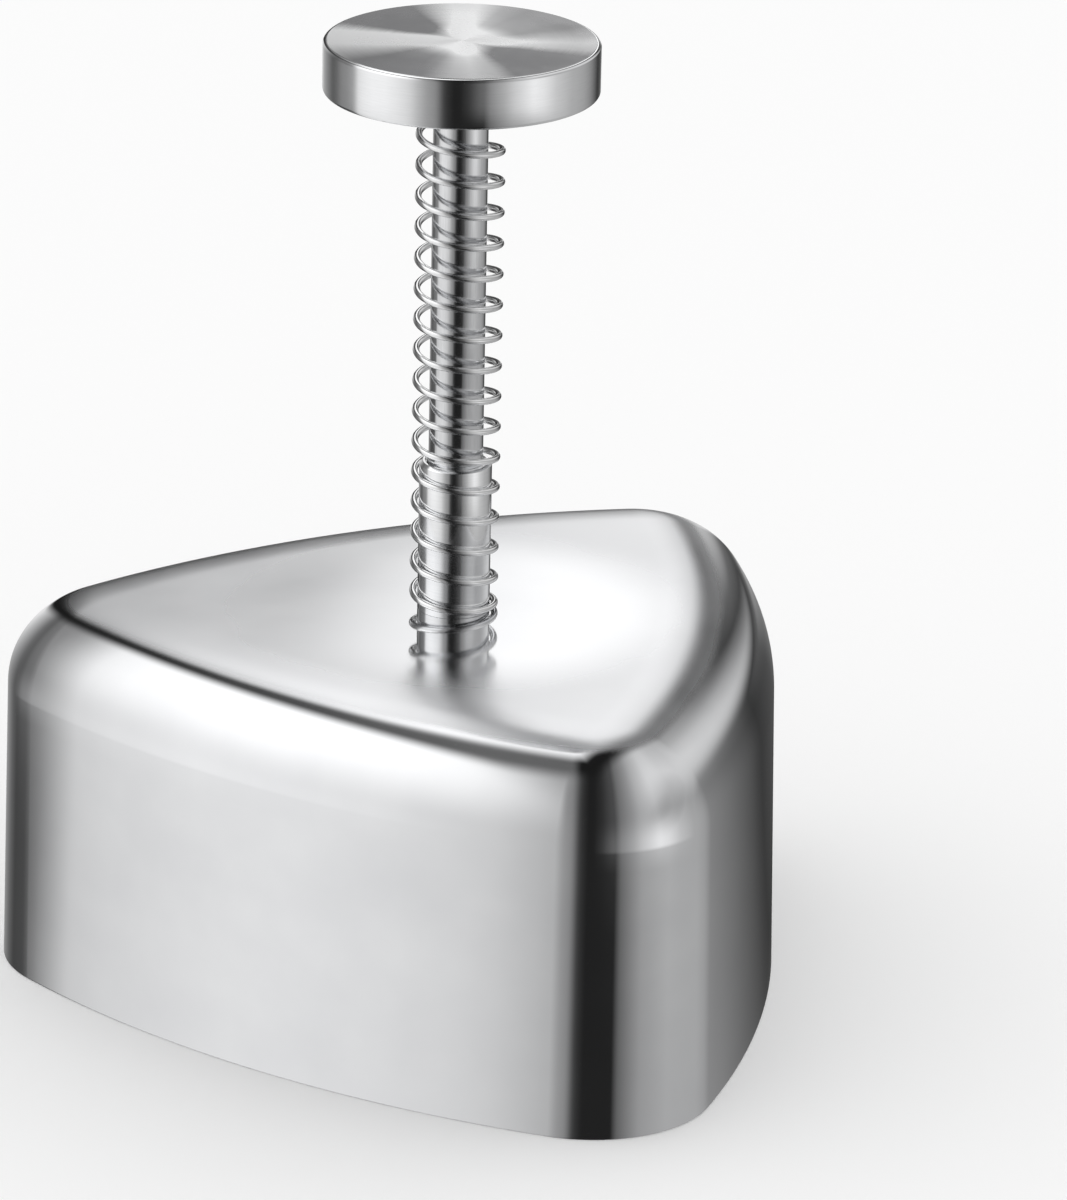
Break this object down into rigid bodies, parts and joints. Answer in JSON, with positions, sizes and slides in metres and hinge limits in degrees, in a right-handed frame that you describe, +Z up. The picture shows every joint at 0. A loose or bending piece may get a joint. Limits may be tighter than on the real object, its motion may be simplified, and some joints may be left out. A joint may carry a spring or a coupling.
{
  "type": "sushi rice mold press",
  "caption": "Rounded-triangle steel rice mold, open below, with a sprung push button, rod and inner plate that slide down through a guide sleeve to press the rice and push it out.",
  "frame": {"origin": "on the plunger's axis, in the plane of the shell's rim, at the middle of the mold's mouth", "axes": "+Z up along the plunger's axis, from the mouth to the button; -X towards one corner of the rounded triangle, so the mold repeats every 120 degrees about Z"},
  "size_m": [0.0865, 0.0906, 0.108],
  "materials": {
    "polished_shell": "mirror-polished stainless steel sheet",
    "polished_steel": "polished turned stainless steel",
    "spun_steel": "turned stainless steel, spun face and polished rim",
    "spring_wire": "bright drawn stainless spring wire",
    "plate_steel": "brushed stainless steel sheet",
    "fastener_steel": "plain stainless steel"
  },
  "bodies": {
    "housing": {"mold_shell": "polished_shell", "guide_sleeve": "polished_steel", "sleeve_washer": "fastener_steel", "sleeve_nut": "fastener_steel", "return_spring": "spring_wire"},
    "plunger": {"press_button": "spun_steel", "push_rod": "polished_steel", "stop_washer": "fastener_steel", "press_plate": "plate_steel", "plate_lock_washer": "fastener_steel", "plate_screw": "fastener_steel"}
  },
  "joints": [
    {"name": "plunger_press", "type": "slide", "parent": "housing", "child": "plunger", "axis": [0, 0, -1], "range_m": [0, 0.042], "stiffness_N_per_m": 250, "springref_m": -0.016, "deforming": ["return_spring"]}
  ]
}
